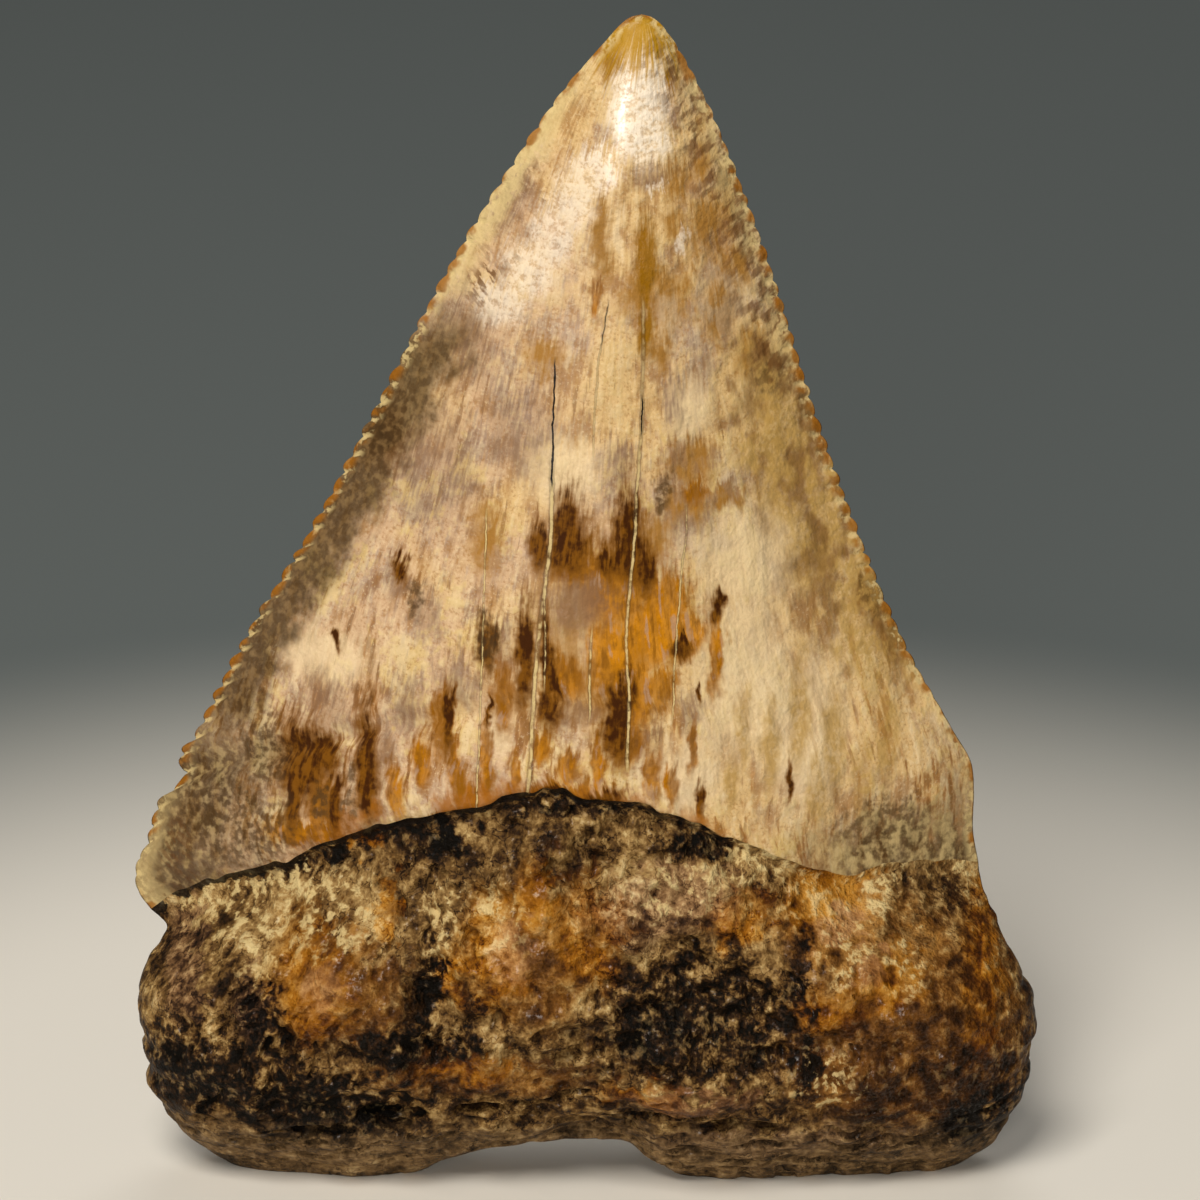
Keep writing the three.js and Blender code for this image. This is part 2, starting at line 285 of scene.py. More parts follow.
def rootPoints(s, r, outer, fine):
    shape = toothShape
    relief = surfaceRelief
    leftZ = mix(shape["leftSide"][0][1], shape["leftSide"][-1][1], r)
    rightZ = mix(shape["rightSide"][0][1], shape["rightSide"][-1][1], r)
    leftX = curve([(-z, x) for x, z in shape["leftSide"]])(-leftZ)
    rightX = curve([(-z, x) for x, z in shape["rightSide"]])(-rightZ)
    x = mix(leftX, rightX, s)
    arch = mix(rise(shape["enamelInner"], s), rise(shape["enamelOuter"], s), outer)
    rim = mix(rise(shape["rimInner"], s), rise(shape["rimOuter"], s), outer)
    if fine:
        arch = arch + footWave(x, outer, np.minimum(s, 1 - s) * (rightX - leftX))
    z = mix(leftZ, rightZ, s) + (1 - r) * arch + r * rim
    u = np.abs(2 * s - 1)
    inner, whole = shape["rootPowers"]
    section = mix((1 - u ** 2) ** shape["bladePower"], (1 - u ** inner) ** whole, ease(r, 0, shape["rootRounding"]))
    acrossSize, upSize, gnarl = rootLumps["gnarl"]
    bumps = gnarl * field(x / acrossSize + 50 * outer, z / upSize)
    bumps += mix(spots(x, z, rootLumps["inner"]), spots(x, z, rootLumps["outer"]), outer)
    lip = mix(0.5, 0.25, outer) * np.exp(-((r / 0.05) ** 2))
    if fine:
        lip = mix(0.3, 0.2, outer) * np.exp(-((r / 0.02) ** 2))
    out = (bumps * ease(r, 0, 0.12) - lip) * section
    pit, strand = rootTexture(x, z, outer)
    if fine:
        for px, pz, halfLength, halfHeight in relief["slots"]:
            slot = np.exp(-(((x - px) / halfLength) ** 4) - ((z - pz) / halfHeight) ** 2) * (1 - outer)
            pit = np.maximum(pit, slot)
            out -= relief["slotDepth"] * slot
        calm = np.zeros_like(x)
        for px, pz, halfWidth, halfHeight in polishedPlaces:
            calm = np.maximum(calm, ease(np.hypot((x - px) / halfWidth, (z - pz) / halfHeight), 1.3, 0.7))
        roughness = (1 - 0.6 * calm) * (1 - 0.6 * ease(r, 0.82, 0.96))
        crag = field(x / 1.15 + 60 * outer, z / 0.8) + 0.55 * field(x / 0.55 + 60 * outer, z / 0.42)
        out += relief["crag"] * crag * ease(r, 0, 0.05) * section * roughness * (1 - 0.4 * outer)
        out += (relief["strandHeight"] * strand - relief["pitDepth"] * pit) * ease(r, 0, 0.04) * section * roughness
        ends = field(z / 0.9, 7 * np.sign(s - 0.5)) + 0.6 * field(z / 0.4, 3 * np.sign(s - 0.5))
        ends = relief["sideRough"] * (ends - 0.3 * np.sign(s - 0.5)) * ease(r, 0, 0.1) * ease(r, 1.0, 0.9)
        x = x + ends * (1 - section)
    face = mix(curve(shape["rootInner"])(r), curve(shape["rootOuter"])(r), outer)
    y = mix(curve(shape["rootEdge"])(r), face, section)
    y = y + out * (2 * outer - 1)
    return x, y, z - shape["tuck"] * (1 - r) * np.minimum(1, section), pit, strand


def skinPoints(u, v, fine):  # u is 0-1 over the inner face and on to 2 over the outer; v is blade, root, sole
    outer = (u > 1) * 1.0
    q = np.where(u > 1, 2 - u, u)
    s = 0.5 * q + 0.25 * (1 - np.cos(np.pi * q))
    blade = bladePoints(s, np.clip(v, 0, 1), outer, fine)
    root = rootPoints(s, np.clip(v - 1, 0, 1), outer, fine)
    w = np.clip(v - 2, 0, 1)
    innerRim = rootPoints(s, np.ones_like(s), 0 * s, fine)
    outerRim = rootPoints(s, np.ones_like(s), 0 * s + 1, fine)
    sole = toothShape["sole"]
    under = mix(sole[0][1], sole[-1][1], s) + rise(sole, s)
    onRoot = v > 1
    x = np.where(onRoot, root[0], blade[0])
    y = np.where(onRoot, mix(root[1], (innerRim[1] + outerRim[1]) / 2, w), blade[1])
    z = np.where(onRoot, mix(root[2], under, np.sin(np.pi / 2 * w) ** 0.8), blade[2])
    return {
        "x": x,
        "y": y,
        "z": np.maximum(z, 0),
        "fan": blade[5],
        "down": v,
        "inset": blade[3],
        "outer": outer,
        "pit": np.where(onRoot, root[3], 0),
        "strand": root[4],
        "bead": 0.5 + 0.5 * np.clip(blade[4], -1, 1),
    }


def makeSkin():  # a flat grid, made finer where the surface is rough, then wrapped over the tooth
    sizes = skinMesh
    rows = sizes["crownRows"] + sizes["rootRows"] + sizes["soleRows"]
    bm = bmesh.new()
    bmesh.ops.create_grid(bm, x_segments=sizes["columns"], y_segments=rows, size=1)
    stops = (0, sizes["crownRows"], sizes["crownRows"] + sizes["rootRows"], rows)
    for vert in bm.verts:
        row = (1 - vert.co.y) / 2 * rows
        vert.co = (vert.co.x + 1, float(np.interp(row, stops, (0, 1, 2, 3))), 0)
    beside = sizes["edgeColumns"] / (sizes["columns"] / 2)

    def refine(wanted):
        faces = [face for face in bm.faces if wanted(*face.calc_center_median()[:2])]
        edges = list({edge for face in faces for edge in face.edges})
        bmesh.ops.subdivide_edges(bm, edges=edges, cuts=1, use_grid_fill=True)

    refine(lambda u, v: v > sizes["footShare"] or abs(u - round(u)) < beside)
    refine(lambda u, v: v < sizes["rimShare"] and ((u < 1 and v > sizes["footShare"]) or abs(u - round(u)) < beside))
    u, v = np.array([vert.co[:2] for vert in bm.verts]).T
    plain = skinPoints(u, v, False)
    skin = skinPoints(u, v, True)
    low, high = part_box("tooth")
    middle = (low + high) / 2 / mm
    shiftX = middle.x - (plain["x"].min() + plain["x"].max()) / 2
    shiftY = middle.y - (plain["y"].min() + plain["y"].max()) / 2
    layers = {name: bm.verts.layers.float.new(name) for name in skin if name not in "xyz"}
    for i, vert in enumerate(bm.verts):
        vert.co = (skin["x"][i] + shiftX, skin["y"][i] + shiftY, skin["z"][i])
        for name, layer in layers.items():
            vert[layer] = skin[name][i]
    bmesh.ops.scale(bm, vec=(mm, mm, mm), verts=bm.verts)
    bmesh.ops.remove_doubles(bm, verts=bm.verts, dist=sizes["mergeReach"] * mm)
    bmesh.ops.triangulate(bm, faces=[face for face in bm.faces if len(face.verts) > 4])
    bmesh.ops.recalc_face_normals(bm, faces=bm.faces)
    down = layers["down"]
    for face in bm.faces:
        face.smooth = True
        face.material_index = int(sum(vert[down] for vert in face.verts) > len(face.verts))  # enamel, then root
    mesh = bpy.data.meshes.new("toothSkin")
    bm.to_mesh(mesh)
    bm.free()
    piece = bpy.data.objects.new("toothSkin", mesh)
    bpy.context.scene.collection.objects.link(piece)
    print("skin:", len(mesh.vertices), "vertices,", sum(len(p.vertices) - 2 for p in mesh.polygons), "triangles")
    return piece


class Wire:  # a node's socket that takes part in sums
    def __init__(self, tree, socket=None):
        self.tree = tree
        self.socket = socket

    def node(self, kind, settings, values, output=0):  # any node: its type, its settings, then its sockets
        made = self.tree.nodes.new(kind)
        for name, value in settings.items():
            if name == "stops":
                ramp = made.color_ramp.elements
                while len(ramp) < len(value):
                    ramp.new(0.5)
                for stop, (position, colour) in zip(ramp, value):
                    stop.position = position
                    stop.color = tone(colour)
            else:
                setattr(made, name, value)
        for name, value in (values.items() if isinstance(values, dict) else enumerate(values)):
            if isinstance(value, Wire):
                self.tree.links.new(value.socket, made.inputs[name])
            else:
                made.inputs[name].default_value = value
        return Wire(self.tree, made.outputs[output] if made.outputs else None)

    def sum(self, operation, *values):
        return self.node("ShaderNodeMath", {"operation": operation}, values)

    def __add__(self, other):
        return self.sum("ADD", self, other)

    def __sub__(self, other):
        return self.sum("SUBTRACT", self, other)

    def __rsub__(self, other):
        return self.sum("SUBTRACT", other, self)

    def __mul__(self, other):
        return self.sum("MULTIPLY", self, other)

    def __truediv__(self, other):
        return self.sum("DIVIDE", self, other)

    def __pow__(self, other):
        return self.sum("POWER", self, other)

    def __abs__(self):
        return self.sum("ABSOLUTE", self)

    __radd__ = __add__
    __rmul__ = __mul__

    def least(self, other):
        return self.sum("MINIMUM", self, other)

    def most(self, other):
        return self.sum("MAXIMUM", self, other)

    def step(self, low, high):  # 0 at low, 1 at high; low may be the larger
        return self.node("ShaderNodeMapRange", {"interpolation_type": "SMOOTHSTEP"}, [self, low, high])

    def noise(self, detail=2, roughness=0.5):
        values = {"Vector": self, "Scale": 1, "Detail": detail, "Roughness": roughness}
        return self.node("ShaderNodeTexNoise", {"noise_dimensions": "3D"}, values)

    def cells(self):  # distance to the rim of the nearest flake
        return self.node("ShaderNodeTexVoronoi", {"feature": "DISTANCE_TO_EDGE"}, {"Vector": self, "Scale": 1})

    def over(self, colour, share):  # lays a colour over this one
        return self.node("ShaderNodeMix", {"data_type": "RGBA"}, {0: share, 6: self, 7: colour}, 2)


def tone(colour):  # a tone of 0-255 as the eye sees it, made linear
    shares = [c / 255 for c in colour]
    return [c / 12.92 if c < 0.04045 else ((c + 0.055) / 1.055) ** 2.4 for c in shares] + [1]


# Tones of the fossil enamel; glint is the tone of a painted highlight, dusk is grey-brown stain and partly painted
# shade
enamelTones = {
    "cream": (216, 180, 124),
    "pinkCream": (204, 168, 130),
    "yellowCream": (208, 176, 108),
    "lilac": (172, 146, 124),
    "pale": (232, 206, 162),
    "tan": (164, 118, 66),
    "streakBrown": (104, 66, 32),
    "streakAmber": (184, 118, 40),
    "amber": (200, 128, 10),
    "amberDeep": (142, 88, 12),
    "russet": (118, 72, 12),
    "umber": (62, 30, 4),
    "duskStainAndShade": (134, 104, 80),
    "ash": (112, 86, 52),
    "ashDark": (72, 52, 28),
    "ochre": (180, 142, 76),
    "olive": (146, 98, 8),
    "ink": (22, 15, 9),
    "rim": (158, 94, 18),
    "bead": (150, 92, 18),
    "crust": (214, 188, 130),
    "honey": (178, 130, 0),
    "caramel": (160, 112, 46),
    "glint": (250, 232, 206),
}

# Stains of the inner face of the crown, with the places of a painted highlight (sheen) and of partly painted shade
# (dusk): x, z, half width, half height
enamelStains = {
    "amber": (
        (3.5, 28.5, 1.7, 1.2), (1.5, 27.4, 1.2, 1.7), (4.9, 28.2, 0.8, 0.9), (-0.9, 26.5, 0.8, 0.9),
        (2.4, 25.6, 0.9, 1.5), (3.9, 29.8, 1.0, 1.2), (1.5, 30.6, 1.5, 1.4), (-0.3, 31.8, 0.9, 0.9),
        (3.6, 25.8, 0.6, 1.0), (6.3, 27.0, 0.3, 1.4), (-13.6, 17.9, 1.8, 0.6), (-7.7, 22.1, 0.4, 1.2),
        (-7.3, 18.6, 0.6, 0.6), (-6.7, 24.1, 0.5, 1.3), (-0.7, 22.2, 0.5, 0.7), (-3.8, 25.4, 0.5, 1.4),
        (-1.95, 23.1, 0.35, 0.7), (-12.6, 19.4, 0.5, 1.3), (5.2, 34.8, 0.4, 0.5), (-9.0, 20.5, 0.4, 1.2),
        (2.0, 23.6, 0.7, 1.2), (-0.6, 20.8, 1.8, 0.6), (-5.4, 20.6, 0.3, 1.0), (4.1, 21.0, 0.3, 0.9),
        (0.55, 44.4, 0.32, 0.55), (-6.0, 21.5, 0.3, 1.5), (-4.6, 22.5, 0.25, 1.6), (-3.3, 21.6, 0.3, 1.2),
        (0.6, 22.4, 0.3, 1.3), (3.2, 21.6, 0.35, 1.2), (5.2, 22.8, 0.2, 1.0),
    ),
    "umber": (
        (-0.7, 33.5, 0.55, 1.5), (-0.75, 32.4, 0.85, 0.85), (-2.1, 32.7, 0.4, 0.9), (2.1, 33.1, 0.55, 1.7),
        (2.0, 32.1, 0.75, 0.9), (2.9, 31.6, 0.3, 1.0), (1.1, 31.9, 0.3, 0.6), (-2.8, 27.4, 0.34, 2.0),
        (-1.75, 26.7, 0.25, 2.2), (-1.5, 25.1, 0.5, 0.9), (1.6, 24.3, 0.6, 1.6), (2.0, 25.6, 0.4, 1.0),
        (-13.6, 21.2, 1.1, 1.6), (-12.4, 21.9, 0.7, 0.8), (-14.0, 19.4, 0.4, 1.3), (-10.35, 21.4, 0.45, 2.6),
        (-11.9, 19.4, 0.3, 1.6), (4.7, 27.6, 0.5, 0.4), (6.3, 29.3, 0.2, 0.6), (-6.4, 24.3, 0.25, 1.2),
        (-1.6, 20.6, 1.0, 0.5), (-4.6, 27.9, 0.35, 0.9), (-9.6, 37.4, 0.8, 1.4), (-8.7, 30.9, 0.35, 0.5),
        (13.9, 28.9, 0.8, 0.8), (15.2, 26.9, 0.6, 1.1), (9.9, 20.6, 0.14, 0.8), (5.6, 20.2, 0.14, 0.7),
        (5.5, 25.3, 0.12, 0.3), (8.8, 40.2, 0.35, 0.5), (-11.9, 27.2, 0.16, 0.4), (0.9, 20.5, 0.8, 0.5),
        (-4.45, 24.8, 0.08, 0.7), (6.5, 49.3, 0.3, 0.4),
    ),
    # grey-brown stain, and on the upper left of the crown painted shade
    "duskStainAndShade": (
        (-0.6, 29.9, 1.6, 1.1), (-0.3, 24.8, 1.0, 0.6), (1.7, 36.4, 0.9, 1.2), (4.7, 34.0, 1.3, 1.0),
        (6.6, 34.5, 1.0, 0.6), (4.9, 36.2, 1.2, 1.0), (-3.8, 27.6, 0.5, 1.6), (-7.4, 29.2, 0.7, 1.1),
        (-8.9, 30.2, 0.6, 0.5), (2.7, 23.4, 0.8, 1.0), (-9.5, 22.5, 0.6, 1.6), (-6.0, 26.0, 1.2, 1.2),
        (-8.4, 24.6, 1.0, 1.6), (3.1, 49.9, 1.0, 0.6), (-3.2, 48.9, 0.7, 0.9), (-3.8, 47.8, 0.7, 0.8),
        (-7.0, 36.0, 2.0, 2.6), (-5.4, 42.0, 1.4, 2.0), (-12.2, 24.0, 1.4, 1.4), (5.0, 24.6, 0.5, 0.9),
        (-3.0, 38.0, 1.6, 2.0), (4.2, 39.4, 0.5, 1.4),
    ),
    "ash": (
        (8.8, 40.0, 0.7, 0.9), (-4.6, 28.2, 0.45, 1.2), (-12.6, 19.5, 0.4, 1.0), (-11.25, 19.8, 0.3, 1.6),
        (3.7, 35.2, 0.4, 0.8), (-8.0, 29.6, 0.4, 0.8), (14.4, 17.6, 2.2, 1.2), (7.6, 47.5, 0.5, 1.6),
        (9.2, 43.6, 0.5, 1.0), (-16.6, 17.6, 2.6, 1.8), (-15.4, 21.4, 1.0, 1.6),
    ),
    # painted highlight: where the near-white glint tone goes, and where the coat shines
    "sheen": (
        (2.6, 52.9, 1.3, 2.3), (2.9, 51.3, 1.1, 0.8), (0.4, 50.0, 1.1, 1.0), (-0.5, 48.7, 0.9, 1.2),
        (-1.5, 47.0, 1.0, 1.3), (-2.6, 45.4, 1.2, 1.2), (-4.0, 43.6, 1.2, 0.9), (3.4, 49.3, 0.4, 0.15),
        (4.6, 46.6, 0.25, 0.6), (17.8, 22.4, 0.3, 0.7),
    ),
    "pale": (
        (-0.3, 27.9, 1.1, 0.9), (3.9, 43.6, 0.5, 1.4), (6.6, 43.8, 1.0, 1.4), (8.0, 31.5, 2.4, 2.4),
        (7.5, 26.0, 2.2, 4.0), (4.9, 38.9, 1.0, 1.4), (3.7, 33.1, 0.6, 0.5), (-1.0, 36.2, 1.6, 1.6),
        (5.0, 21.4, 1.4, 1.8), (1.7, 47.3, 0.25, 1.0), (10.5, 23.0, 2.0, 3.4), (-4.0, 24.0, 0.6, 1.2),
        (-12.4, 26.4, 2.0, 1.2),
    ),
    "olive": (
        (2.97, 45.9, 0.5, 1.8), (0.75, 47.2, 0.45, 1.5), (2.9, 42.6, 0.3, 1.0), (1.3, 55.2, 0.5, 0.9),
        (4.2, 54.6, 0.4, 1.0),
    ),
    "caramel": (
        (5.9, 47.3, 1.4, 1.6), (4.1, 44.2, 1.2, 1.5), (4.5, 47.8, 0.6, 1.4), (7.2, 45.4, 0.9, 1.4),
        (5.6, 52.2, 0.3, 0.4), (1.0, 45.4, 0.4, 0.7), (3.6, 42.0, 0.5, 1.2), (5.6, 50.4, 0.6, 1.2),
        (-4.6, 33.0, 0.8, 1.6), (-1.9, 41.4, 0.9, 1.0), (6.3, 43.4, 0.8, 1.6), (4.4, 49.4, 0.8, 0.9),
        (2.4, 44.6, 0.9, 1.2), (7.9, 41.2, 0.7, 1.2), (6.9, 48.6, 0.6, 1.2), (5.0, 36.3, 1.3, 1.0),
        (4.9, 34.5, 1.2, 0.9), (6.7, 34.5, 0.9, 0.5), (3.4, 33.0, 0.8, 1.2), (6.3, 27.2, 0.4, 1.8),
    ),
    "ochre": (
        (8.8, 38.4, 0.7, 1.0), (9.8, 34.6, 1.4, 1.8), (11.0, 31.0, 1.2, 1.6), (8.4, 36.4, 1.2, 1.2),
        (7.6, 23.5, 0.35, 1.8), (8.9, 22.4, 0.4, 2.2), (10.3, 24.0, 0.45, 2.8), (12.0, 22.0, 0.5, 2.3),
        (13.4, 20.0, 0.5, 1.8), (6.9, 21.0, 0.3, 1.4), (11.2, 19.8, 0.4, 1.6), (14.6, 22.0, 0.5, 2.0),
    ),
}

# Hair cracks down the crown: (z, x) stops, reach in z, half width, reach in z of the open slit
enamelCracks = (
    (
        (
            (15, -2.9), (20.2, -2.7), (23.1, -2.5), (25.5, -2.36), (27.9, -2.19), (30.4, -1.9), (32.8, -1.6),
            (35.8, -1.5), (43.1, -1.3),
        ),
        (19, 36.6), 0.075, (35.5, 41.3),
    ),
    (((24, -1.95), (26.7, -1.84), (30.8, -1.88)), (26.2, 30.4), 0.035, None),
    (
        (
            (15, 1.9), (20.2, 2.05), (23.4, 2.09), (25.5, 2.13), (28.2, 2.0), (29.9, 2.11), (32.4, 2.34),
            (34.5, 2.46), (38.7, 2.7), (46, 2.8),
        ),
        (22, 44), 0.06, (37.8, 39.6),
    ),
    (((20, -0.1), (35, 0.3), (41.5, 0.75), (44, 1.15)), (37, 44), 0.03, (42.1, 44)),
    (((15, 0.1), (27, 0.31), (30, 0.4)), (24.6, 28.6), 0.045, None),
    (((15, 4.1), (25.5, 4.25), (29.9, 4.5), (33, 4.84)), (24.5, 34), 0.035, None),
    (((15, -5.3), (33, -4.6)), (19, 34), 0.035, None),
)

# Tones of the root, each from the pits up to the crust
rootTones = {
    "plain": ((12, 8, 4), (48, 30, 14), (108, 78, 40), (166, 132, 80), (214, 188, 134)),
    "orange": ((28, 13, 3), (92, 48, 6), (150, 92, 14), (190, 134, 52), (226, 186, 120)),
    "worn": ((16, 8, 2), (56, 30, 6), (104, 62, 16), (166, 114, 48), (216, 174, 112)),
    "pink": ((24, 15, 10), (84, 56, 38), (140, 102, 74), (196, 154, 118), (232, 200, 164)),
    "ash": ((22, 16, 11), (62, 48, 30), (98, 76, 50), (136, 108, 74), (178, 150, 106)),
}
rootStops = (0.0, 0.26, 0.48, 0.72, 1.0)  # where those five tones lie, from pit to crust

# Stains of the inner face of the root: x, z, half width, half height
rootStains = {
    "orange": (
        (-9.4, 15.2, 0.5, 1.2), (-13.1, 11.3, 1.9, 2.4), (-6.3, 12.2, 0.6, 1.4), (-2.3, 15.9, 0.9, 1.8),
        (-4.4, 13.4, 1.6, 2.6), (0.2, 14.0, 1.6, 2.6), (11.5, 14.9, 1.9, 1.5), (14.2, 11.2, 1.8, 1.1),
        (19.4, 11.6, 1.0, 2.4), (11.8, 10.2, 1.6, 1.0), (2.7, 5.9, 1.8, 0.8), (-5.7, 7.2, 2.4, 0.7),
        (17.5, 16.3, 1.0, 0.6), (-15.5, 17.0, 1.6, 0.7), (7.4, 14.6, 1.6, 1.0), (-10.6, 18.0, 0.9, 0.6),
        (19.2, 8.6, 0.8, 1.4),
    ),
    "cream": (
        (-12.6, 14.8, 3.2, 1.7), (-15.6, 13.9, 2.6, 2.2), (-3.6, 15.2, 1.4, 1.6), (11.5, 15.0, 1.8, 1.4),
        (14.7, 15.9, 1.5, 2.2), (15.7, 11.9, 0.9, 1.3), (11.8, 6.5, 1.6, 1.6), (8.5, 17.0, 2.4, 1.0),
        (-6.6, 14.5, 0.9, 2.0), (4.4, 16.0, 3.0, 1.4), (-18.6, 14.6, 1.6, 2.0), (12.8, 13.2, 1.4, 1.6),
        (18.6, 14.6, 0.8, 0.8),
    ),
    "black": (
        (-7.5, 11.2, 0.8, 1.5), (-18.2, 6.4, 3.2, 2.2), (4.6, 9.8, 3.8, 2.6), (8.6, 9.0, 1.6, 2.2),
        (10.2, 11.6, 0.5, 1.6), (-7.9, 18.3, 2.6, 0.8), (-0.2, 20.1, 3.0, 0.5), (-8.6, 8.4, 3.2, 1.0),
        (10.6, 7.4, 0.4, 1.8), (-13.0, 5.0, 4.6, 1.6), (19.4, 3.4, 2.0, 1.4), (6.2, 18.0, 2.2, 0.6),
        (-15.8, 9.4, 1.0, 1.6), (-14.0, 16.0, 0.7, 0.8), (-12.0, 17.0, 0.9, 0.5),
    ),
    "pink": (
        (12.2, 13.6, 1.2, 0.6), (-19.4, 10.8, 1.0, 2.0), (5.1, 5.6, 3.2, 0.8), (-12.6, 11.6, 0.9, 1.2),
        (-3.4, 13.6, 1.0, 1.4), (13.6, 12.0, 0.8, 0.6), (3.6, 15.4, 3.6, 1.6), (9.0, 2.8, 6.0, 0.8),
        (-16.0, 10.0, 0.8, 1.6),
    ),
}

# Stains of the outer face, with the places of a painted highlight (sheen)
outerStains = {
    "amber": (
        (-2.0, 30.0, 2.6, 5.0), (4.0, 24.0, 1.4, 3.2), (2.6, 55.6, 1.8, 1.8), (-9.5, 20.0, 1.2, 2.4),
        (9.0, 20.5, 1.0, 2.6),
    ),
    "umber": ((-2.6, 33.0, 0.9, 3.4), (1.0, 21.5, 0.8, 2.6), (-14.0, 19.0, 1.0, 1.8), (12.8, 25.0, 0.8, 1.8)),
    "ash": ((5.4, 41.0, 1.0, 2.6), (-8.8, 32.0, 0.8, 2.2), (10.0, 30.0, 1.2, 1.6)),
    # painted highlight on the outer face, also where the coat shines
    "sheen": ((2.0, 50.0, 1.6, 4.0), (0.5, 44.0, 1.6, 3.0)),
    "pale": ((2.0, 47.0, 2.4, 5.0), (7.0, 27.0, 2.2, 4.0), (-5.0, 24.0, 1.6, 3.6)),
    "orange": ((-6.0, 11.0, 3.0, 2.4), (8.0, 8.0, 3.4, 2.0), (-15.0, 6.0, 2.4, 2.2), (16.0, 10.0, 2.4, 1.8)),
    "caramel": ((5.0, 33.0, 1.2, 4.0), (-6.0, 40.0, 0.8, 2.4)),
    "ochre": ((9.0, 24.0, 0.6, 3.0), (-8.0, 22.0, 0.6, 2.4), (-12.0, 24.0, 0.8, 1.6)),
    "olive": ((1.0, 48.0, 0.6, 2.4), (-4.0, 30.0, 0.6, 2.4)),
    "duskStainAndShade": ((-5.0, 36.0, 2.0, 3.0), (3.0, 30.0, 2.0, 3.0), (10.0, 22.0, 1.6, 2.4), (-12.0, 24.0, 1.6, 2.4)),
    "pink": ((4.0, 13.0, 2.4, 2.0), (-10.0, 6.0, 2.6, 1.4), (15.0, 6.0, 2.4, 1.4)),
    "polished": ((-13.0, 8.0, 5.0, 4.0), (13.0, 8.0, 5.0, 4.0), (0.0, 12.0, 3.0, 3.0)),
    "cream": ((0.0, 13.0, 3.6, 2.4), (12.0, 12.0, 3.0, 1.6), (-12.0, 11.0, 3.0, 1.6)),
    "black": ((-1.0, 6.5, 3.4, 1.8), (-19.5, 8.0, 1.6, 2.6), (19.6, 6.0, 1.6, 2.6), (5.0, 4.0, 4.0, 1.0)),
}


def nearest(place, places):  # how near the closest of the soft ovals is: 1 on its rim
    reach = None
    for x, z, across, up in places:
        oval = place.node(
            "ShaderNodeVectorMath",
            {"operation": "MULTIPLY_ADD"},
            [place, (1 / across, 0, 1 / up), (-x / across, 0, -z / up)],
        )
        length = place.node("ShaderNodeVectorMath", {"operation": "LENGTH"}, [oval], 1)
        reach = length if reach is None else reach.least(length)
    return reach


def lineAt(z, stops):  # x of a hair crack at each height
    low, high = stops[0][0], stops[-1][0]
    xs = [x for _, x in stops]
    base, span = min(xs) - 0.5, max(xs) - min(xs) + 1
    share = z.node("ShaderNodeMapRange", {}, [z, low, high])
    curveNode = z.tree.nodes.new("ShaderNodeFloatCurve")
    points = curveNode.mapping.curves[0].points
    while len(points) < len(stops):
        points.new(0.5, 0.5)
    for point, (height, x) in zip(points, stops):
        point.location = ((height - low) / (high - low), (x - base) / span)
    curveNode.mapping.update()
    z.tree.links.new(share.socket, curveNode.inputs["Value"])
    return Wire(z.tree, curveNode.outputs[0]) * span + base


class Places:  # where a point of the skin lies, and the noises that both finishes use
    def __init__(self, tree):
        self.start = start = Wire(tree)
        texture = start.node("ShaderNodeTexCoord", {}, {}, 3)
        self.place = start.node("ShaderNodeVectorMath", {"operation": "SCALE"}, {"Vector": texture, "Scale": 1 / mm})
        self.xyz = [start.node("ShaderNodeSeparateXYZ", {}, [self.place], i) for i in range(3)]
        self.wob = self.evenly(0.85)
        self.speck = self.evenly(2.6, 4)
        self.grain = self.evenly(7.0, 2)
        self.outer = self.layer("outer")

    def layer(self, name):
        return self.start.node("ShaderNodeAttribute", {"attribute_name": name}, {}, 2)

    def at(self, across, deep, up):
        return self.start.node("ShaderNodeCombineXYZ", {}, [across, deep, up])

    def evenly(self, scale, detail=3, roughness=0.5):
        spread = self.start.node("ShaderNodeVectorMath", {"operation": "SCALE"}, {"Vector": self.place, "Scale": scale})
        return spread.noise(detail, roughness)

    def eitherFace(self, inner, outer):  # the reach of the marks of whichever face this is
        far = surfaceSizes["otherFace"]
        return (inner + self.outer * far).least(outer + (1 - self.outer) * far)

    def blend(self, share, low, high):
        values = {0: share, 6: tone(enamelTones[low]), 7: tone(enamelTones[high])}
        return self.start.node("ShaderNodeMix", {"data_type": "RGBA"}, values, 2)


def between(value, low, high, soft):
    return value.step(low - soft, low + soft) * value.step(high + soft, high - soft)


# Where the larger marks lie, in millimetres: a pair says where a mark starts and where it is full
markPlaces = {
    "lowerCrown": (33, 22),
    "heart": ((1.2, 28.8), (4.0, 5.2)),  # middle and half sizes of the brown heart of the crown
    "band": (22, 42.5),  # bottom and top of the grey-brown band of the left edge
    "corner": (24, 20),  # the left corner, below the band
    "upperCrust": (42, 45),
    "lowerCrust": (20, 15),
    "grit": (24, 42),  # bottom and top of the ochre grit of the right edge
    "point": (54.6, 56.4),
    "serration": (0.75, 0.2),  # inwards from the cutting edge
    "underBand": (4.6, 2.6),
}

# What the whole surface starts from
surfaceSizes = {
    "ior": 1.55,
    "specular": 0.06,
    "coatRoughness": 0.24,
    "enamelCoat": 0.06,
    "enamelRough": 0.31,
    "stainRough": 0.85,
    "rootRough": 0.5,
    "otherFace": 50,  # moves a mark out of reach on the face that it isn't on
}


